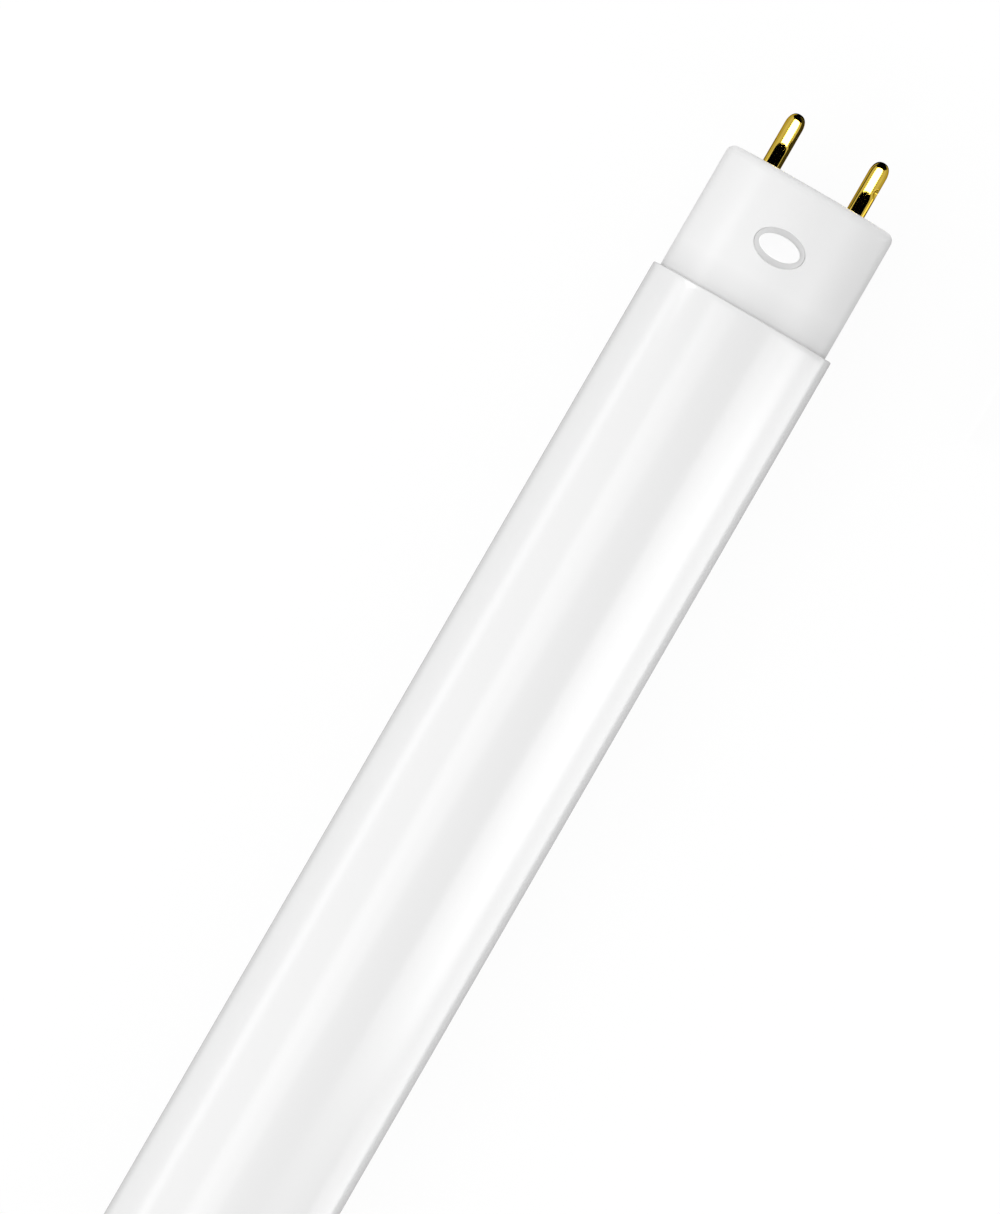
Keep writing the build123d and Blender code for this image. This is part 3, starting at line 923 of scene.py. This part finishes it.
@dataclass
class Studio:
    """The floor, the softboxes, the cards, the room round them and the camera.

    A reach is a stretch of X. Far and near are distances of softboxes from the lamp's axis. The pins
    are lit from lit_pin_x to beyond their tips.
    """

    pins: tuple[bpy.types.Object, ...]
    floor_size: float = 80.0
    floor_squares: int = 8
    floor_glow: float = 0.93
    floor_grey: float = 0.07
    paper_grey: float = 0.5
    camera_lens_mm: float = 1000.0
    sensor_mm: float = 36.0
    camera_clip: Range = (0.1, 100.0)
    picture_long_side: float = 0.1591
    camera_x: float = 0.22643
    camera_y: float = 0.00819
    camera_turn_degrees: float = -60.0
    far: float = 0.5
    near: float = 0.25
    lamp_reach: Range = (0.06, 0.302)
    flank_reach: Range = (0.165, 0.284)
    cap_box_gap: float = 0.004
    lit_pin_x: float = 0.2981
    lit_pin_length: float = 0.0265
    pin_box_height: float = 0.03
    card_lift: float = 0.0005
    sky_level: float = 1.5
    sky: tuple[tuple[float, float], ...] = (
        (0.0, 0.5), (0.1, 0.87), (0.42, 0.87), (0.74, 0.74), (0.82, 0.38), (0.93, 0.38), (1.0, 0.45),
    )

    def lay_floor(self) -> None:
        """Lay the floor that the lamp rests on."""
        squares = self.floor_squares
        shape = bmesh.new()
        bmesh.ops.create_grid(
            shape, x_segments=squares, y_segments=squares, size=self.floor_size / 2
        )
        table = -node_box("diffuser_tube")[1].y
        bmesh.ops.translate(shape, vec=(0.0, 0.0, table), verts=shape.verts)
        floor = add_to_scene(shape, "floor")
        floor.data.materials.append(self.floor_material())

    def floor_material(self) -> bpy.types.Material:
        """Pale floor: near white to the camera, in gloss and through film, and grey paper to the rest.

        Returns:
            The material.
        """
        material = bpy.data.materials.new("pale_floor")
        tree = blank_tree(material)
        output = tree.nodes.new("ShaderNodeOutputMaterial")
        path = tree.nodes.new("ShaderNodeLightPath")
        kinds = ("Camera", "Glossy", "Transmission")
        seen = self.largest(tree, [path.outputs[f"Is {kind} Ray"] for kind in kinds])
        paper = tree.nodes.new("ShaderNodeBsdfDiffuse")
        paper.inputs["Color"].default_value = grey(self.paper_grey)
        faint = tree.nodes.new("ShaderNodeBsdfDiffuse")
        faint.inputs["Color"].default_value = grey(self.floor_grey)
        glow = tree.nodes.new("ShaderNodeEmission")
        glow.inputs["Color"].default_value = grey(1.0)
        glow.inputs["Strength"].default_value = self.floor_glow
        lit = tree.nodes.new("ShaderNodeAddShader")
        tree.links.new(faint.outputs["BSDF"], lit.inputs[0])
        tree.links.new(glow.outputs["Emission"], lit.inputs[1])
        choice = tree.nodes.new("ShaderNodeMixShader")
        tree.links.new(seen, choice.inputs["Fac"])
        tree.links.new(paper.outputs["BSDF"], choice.inputs[1])
        tree.links.new(lit.outputs["Shader"], choice.inputs[2])
        tree.links.new(choice.outputs["Shader"], output.inputs["Surface"])
        return material

    @staticmethod
    def largest(
        tree: bpy.types.NodeTree, sockets: list[bpy.types.NodeSocket]
    ) -> bpy.types.NodeSocket:
        """The largest of several values.

        Args:
            tree: The tree to work in.
            sockets: The values.

        Returns:
            The socket with the largest.
        """
        result = sockets[0]
        for socket in sockets[1:]:
            step = tree.nodes.new("ShaderNodeMath")
            step.operation = "MAXIMUM"
            tree.links.new(result, step.inputs[0])
            tree.links.new(socket, step.inputs[1])
            result = step.outputs["Value"]
        return result

    def light_room(self) -> None:
        """Light the room with a plain sky, pale on its sides and darker overhead."""
        world = bpy.data.worlds.new("studio")
        bpy.context.scene.world = world
        tree = blank_tree(world)
        output = tree.nodes.new("ShaderNodeOutputWorld")
        background = tree.nodes.new("ShaderNodeBackground")
        split = tree.nodes.new("ShaderNodeSeparateXYZ")
        ramp = tree.nodes.new("ShaderNodeValToRGB")
        direction = tree.nodes.new("ShaderNodeTexCoord").outputs["Generated"]
        tree.links.new(direction, split.inputs["Vector"])
        tree.links.new(split.outputs["Z"], ramp.inputs["Fac"])
        tree.links.new(ramp.outputs["Color"], background.inputs["Color"])
        tree.links.new(background.outputs["Background"], output.inputs["Surface"])
        background.inputs["Strength"].default_value = self.sky_level
        elements = ramp.color_ramp.elements
        for height, level in self.sky[1:-1]:
            elements.new(height)
        for element, (height, level) in zip(elements, self.sky):
            element.position = height
            element.color = grey(level)

    def hang_lights(self) -> None:
        """Hang the softboxes: three light everything, four the gloss only, and one the pins only."""
        cap = (node_box("diffuser_tube")[1].x + self.cap_box_gap, node_box("end_cap_a")[1].x)
        pins = (self.lit_pin_x, self.lit_pin_x + self.lit_pin_length)
        lamp, flank = self.lamp_reach, self.flank_reach
        height = self.pin_box_height
        # After its name, each box has its lean, distance, width, reach and radiance.
        boxes = (
            Softbox("left_low_box", -84.0, self.far, 12.0, lamp, 2.1),
            Softbox("top_left_box", -28.0, self.far, 16.0, lamp, 2.4),
            Softbox("top_box", -12.0, self.far, 14.0, lamp, 1.6),
            Softbox("right_high_box", 46.0, self.near, 14.0, flank, 2.1, lights_matt=False),
            Softbox("right_box", 62.0, self.near, 18.0, flank, 3.2, lights_matt=False),
            Softbox("right_low_box", 81.5, self.near, 21.0, flank, 4.4, lights_matt=False),
            Softbox("cap_box", -66.0, 0.1, 10.0, cap, 13.0, lights_matt=False),
            Softbox("pin_box", 0.0, height, 80.0, pins, 21.0, lights_matt=False, only=self.pins),
        )
        for box in boxes:
            box.hang()

    def stand_cards(self) -> None:
        """Stand the cards along the tube, beside the cap and round the pins.

        Most are there for the gloss. Those by the cap's right flank, over the pins' foot and between
        the pins shade as well.
        """
        low, high = node_box("diffuser_tube")
        face_x = node_box("end_cap_a")[1].x
        pin_x = self.lit_pin_x
        table = -high.y + self.card_lift
        long = pin_x - low.x
        middle = (low.x + pin_x) / 2
        cap_x = (high.x + face_x) / 2
        foot_x = (face_x + pin_x) / 2
        height = self.pin_box_height
        cards = (
            Card("left_card", Facing.UP, centre=(middle, 0.02, table), size=(long, 0.011), glow=0.4),
            Card("right_card", Facing.UP, centre=(middle, -0.022, table), size=(long, 0.016), glow=0.35),
            Card(
                "right_reflector", Facing.UP, centre=(middle, -0.165, table), size=(long, 0.27), glow=2.8,
            ),
            Card(
                "cap_flag", Facing.ALONG_Y, centre=(cap_x, -0.034, 0.003), size=(face_x - high.x, 0.032),
                glow=0.65, shades=True,
            ),
            Card(
                "pin_flag", Facing.UP, centre=(foot_x, 0.0, height), size=(pin_x - face_x, 0.18),
                shades=True,
            ),
            Card("tip_flag", Facing.UP, centre=(pin_x + 0.0295, 0.0, height), size=(0.006, 0.056)),
            Card("tip_card", Facing.ALONG_X, centre=(pin_x + 0.0325, 0.0, 0.0085), size=(0.043, 0.085)),
            Card("tip_foot", Facing.UP, centre=(pin_x + 0.019, 0.0, table), size=(0.027, 0.03)),
            Card(
                "gap_card", Facing.ALONG_Y, centre=(0.303, 0.0042, -0.0004), size=(0.017, 0.0032),
                glow=0.1, shades=True,
            ),
        )
        for card in cards:
            card.stand()

    def aim_camera(self) -> None:
        """Set the camera straight above the lamp near end A, turned so that it leans as in the photo."""
        camera_data = bpy.data.cameras.new("camera")
        camera_data.lens = self.camera_lens_mm
        camera_data.sensor_width = self.sensor_mm
        camera_data.clip_start, camera_data.clip_end = self.camera_clip
        camera = bpy.data.objects.new("camera", camera_data)
        height = self.picture_long_side * self.camera_lens_mm / self.sensor_mm
        camera.location = (self.camera_x, self.camera_y, height)
        camera.rotation_euler = (0.0, 0.0, math.radians(self.camera_turn_degrees))
        bpy.context.scene.collection.objects.link(camera)
        bpy.context.scene.camera = camera

    def set_up(self) -> None:
        """Make the whole studio."""
        bpy.context.scene.view_settings.view_transform = "Standard"
        self.aim_camera()
        self.lay_floor()
        self.light_room()
        self.hang_lights()
        self.stand_cards()


def main() -> None:
    """Build the pieces in order, dress every CAD node and set up the studio."""
    logging.basicConfig(level=logging.INFO, format="%(message)s")
    palette = Palette()
    for name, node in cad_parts.items():
        palette.dress_node(node)
        LOG.info("%s dressed", name)
    tube = DiffuserTube().build(palette)
    LOG.info("%s built, %d faces", tube.name, len(tube.data.polygons))
    pins = tuple(ContactPin(number, end).build(palette) for end in ("a", "b") for number in (1, 2))
    for pin in pins:
        LOG.info("%s built, %d faces", pin.name, len(pin.data.polygons))
    Studio(pins).set_up()


if __name__ == "__main__":
    main()
